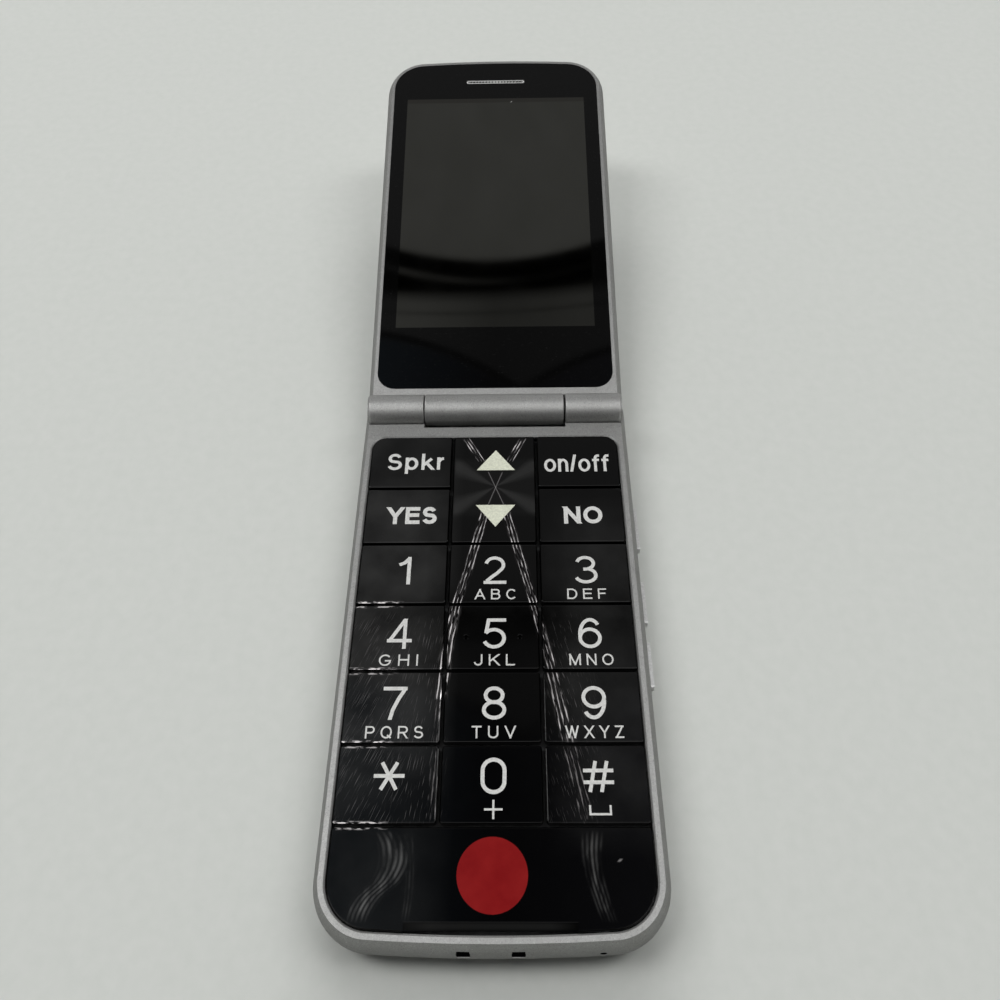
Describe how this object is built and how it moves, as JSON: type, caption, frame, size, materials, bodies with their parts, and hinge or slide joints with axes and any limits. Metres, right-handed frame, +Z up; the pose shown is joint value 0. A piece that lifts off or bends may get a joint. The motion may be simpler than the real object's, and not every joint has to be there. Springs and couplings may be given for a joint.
{
  "type": "flip phone",
  "caption": "Clamshell phone open on its back: silver base with large gloss black keys, barrel hinge, and a lid with a wide dark display window.",
  "frame": {"origin": "centre of the base's flat rest face, midway between the bottom end and the hinge barrel's rear end of the base, on the surface that the phone lies on", "axes": "+Z up through the keypad, +Y from the keypad towards the open lid, +X to the user's right"},
  "size_m": [0.0575, 0.2059, 0.031],
  "materials": {
    "silver_paint": "matte silver-grey paint with a fine speckle on moulded plastic",
    "key_gloss": "gloss black lacquer with fine scratches",
    "key_metal": "plated side keys, satin bright",
    "window_gloss": "gloss black display window",
    "screen": "dark grey display, switched off",
    "grille_metal": "fine perforated metal",
    "keypad_rubber": "matte silicone",
    "inner_plastic": "matte black",
    "board": "green solder resist",
    "cable_film": "amber film",
    "gold_plate": "gold plated springs",
    "steel": "stamped and turned steel"
  },
  "bodies": {
    "base": {"front_housing": "silver_paint", "rear_housing": "silver_paint", "battery_cover": "silver_paint", "battery": "inner_plastic", "battery_contacts": "gold_plate", "main_board": "board", "keypad_membrane": "keypad_rubber", "key_domes": "steel", "shield_cans": "steel", "sim_holder": "steel", "loudspeaker": "inner_plastic", "vibration_motor": "steel", "microphone": "steel", "charge_contacts": "gold_plate", "usb_socket": "steel", "antenna": "inner_plastic", "side_key_switches": "steel", "hinge_cartridge": "steel", "hinge_spring": "steel", "hinge_cam": "inner_plastic", "base_flex": "cable_film", "housing_screws": "steel"},
    "lid": {"lid_bezel": "silver_paint", "lid_shell": "silver_paint", "display_window": "window_gloss", "display_module": "screen", "earpiece_grille": "grille_metal", "earpiece": "inner_plastic", "lid_board": "board", "outer_window": "window_gloss", "outer_display": "screen", "camera_module": "inner_plastic", "camera_lens": "window_gloss", "lid_magnet": "steel", "hinge_shaft": "steel", "hinge_sleeve": "steel", "lid_flex": "cable_film", "lid_screws": "steel"},
    "key_speaker": {"key_speaker": "key_gloss"},
    "key_nav": {"key_nav": "key_gloss"},
    "key_power": {"key_power": "key_gloss"},
    "key_yes": {"key_yes": "key_gloss"},
    "key_no": {"key_no": "key_gloss"},
    "key_1": {"key_1": "key_gloss"},
    "key_2": {"key_2": "key_gloss"},
    "key_3": {"key_3": "key_gloss"},
    "key_4": {"key_4": "key_gloss"},
    "key_5": {"key_5": "key_gloss"},
    "key_6": {"key_6": "key_gloss"},
    "key_7": {"key_7": "key_gloss"},
    "key_8": {"key_8": "key_gloss"},
    "key_9": {"key_9": "key_gloss"},
    "key_star": {"key_star": "key_gloss"},
    "key_0": {"key_0": "key_gloss"},
    "key_hash": {"key_hash": "key_gloss"},
    "key_call": {"key_call": "key_gloss"},
    "side_key_upper": {"side_key_upper": "key_metal"},
    "side_key_middle": {"side_key_middle": "key_metal"},
    "side_key_lower": {"side_key_lower": "key_metal"}
  },
  "joints": [
    {"name": "lid_hinge", "type": "hinge", "parent": "base", "child": "lid", "pos_m": [0, 0.05008, 0.0104], "axis": [1, 0, 0], "range_deg": [0, 168.2]},
    {"name": "key_speaker_press", "type": "slide", "parent": "base", "child": "key_speaker", "axis": [0, 0, -1], "range_m": [0, 0.0004], "stiffness_N_per_m": 2500},
    {"name": "key_nav_rock", "type": "hinge", "parent": "base", "child": "key_nav", "pos_m": [0, 0.02998, 0.0087], "axis": [1, 0, 0], "range_deg": [-1.4, 1.4], "stiffness_Nm_per_rad": 0.4},
    {"name": "key_power_press", "type": "slide", "parent": "base", "child": "key_power", "axis": [0, 0, -1], "range_m": [0, 0.0004], "stiffness_N_per_m": 2500},
    {"name": "key_yes_press", "type": "slide", "parent": "base", "child": "key_yes", "axis": [0, 0, -1], "range_m": [0, 0.0004], "stiffness_N_per_m": 2500},
    {"name": "key_no_press", "type": "slide", "parent": "base", "child": "key_no", "axis": [0, 0, -1], "range_m": [0, 0.0004], "stiffness_N_per_m": 2500},
    {"name": "key_1_press", "type": "slide", "parent": "base", "child": "key_1", "axis": [0, 0, -1], "range_m": [0, 0.0004], "stiffness_N_per_m": 2500},
    {"name": "key_2_press", "type": "slide", "parent": "base", "child": "key_2", "axis": [0, 0, -1], "range_m": [0, 0.0004], "stiffness_N_per_m": 2500},
    {"name": "key_3_press", "type": "slide", "parent": "base", "child": "key_3", "axis": [0, 0, -1], "range_m": [0, 0.0004], "stiffness_N_per_m": 2500},
    {"name": "key_4_press", "type": "slide", "parent": "base", "child": "key_4", "axis": [0, 0, -1], "range_m": [0, 0.0004], "stiffness_N_per_m": 2500},
    {"name": "key_5_press", "type": "slide", "parent": "base", "child": "key_5", "axis": [0, 0, -1], "range_m": [0, 0.0004], "stiffness_N_per_m": 2500},
    {"name": "key_6_press", "type": "slide", "parent": "base", "child": "key_6", "axis": [0, 0, -1], "range_m": [0, 0.0004], "stiffness_N_per_m": 2500},
    {"name": "key_7_press", "type": "slide", "parent": "base", "child": "key_7", "axis": [0, 0, -1], "range_m": [0, 0.0004], "stiffness_N_per_m": 2500},
    {"name": "key_8_press", "type": "slide", "parent": "base", "child": "key_8", "axis": [0, 0, -1], "range_m": [0, 0.0004], "stiffness_N_per_m": 2500},
    {"name": "key_9_press", "type": "slide", "parent": "base", "child": "key_9", "axis": [0, 0, -1], "range_m": [0, 0.0004], "stiffness_N_per_m": 2500},
    {"name": "key_star_press", "type": "slide", "parent": "base", "child": "key_star", "axis": [0, 0, -1], "range_m": [0, 0.0004], "stiffness_N_per_m": 2500},
    {"name": "key_0_press", "type": "slide", "parent": "base", "child": "key_0", "axis": [0, 0, -1], "range_m": [0, 0.0004], "stiffness_N_per_m": 2500},
    {"name": "key_hash_press", "type": "slide", "parent": "base", "child": "key_hash", "axis": [0, 0, -1], "range_m": [0, 0.0004], "stiffness_N_per_m": 2500},
    {"name": "key_call_press", "type": "slide", "parent": "base", "child": "key_call", "axis": [0, 0, -1], "range_m": [0, 0.0004], "stiffness_N_per_m": 2500},
    {"name": "side_key_upper_press", "type": "slide", "parent": "base", "child": "side_key_upper", "axis": [-1, 0, 0], "range_m": [0, 0.0003], "stiffness_N_per_m": 3000},
    {"name": "side_key_middle_press", "type": "slide", "parent": "base", "child": "side_key_middle", "axis": [-1, 0, 0], "range_m": [0, 0.0003], "stiffness_N_per_m": 3000},
    {"name": "side_key_lower_press", "type": "slide", "parent": "base", "child": "side_key_lower", "axis": [-1, 0, 0], "range_m": [0, 0.0003], "stiffness_N_per_m": 3000}
  ]
}
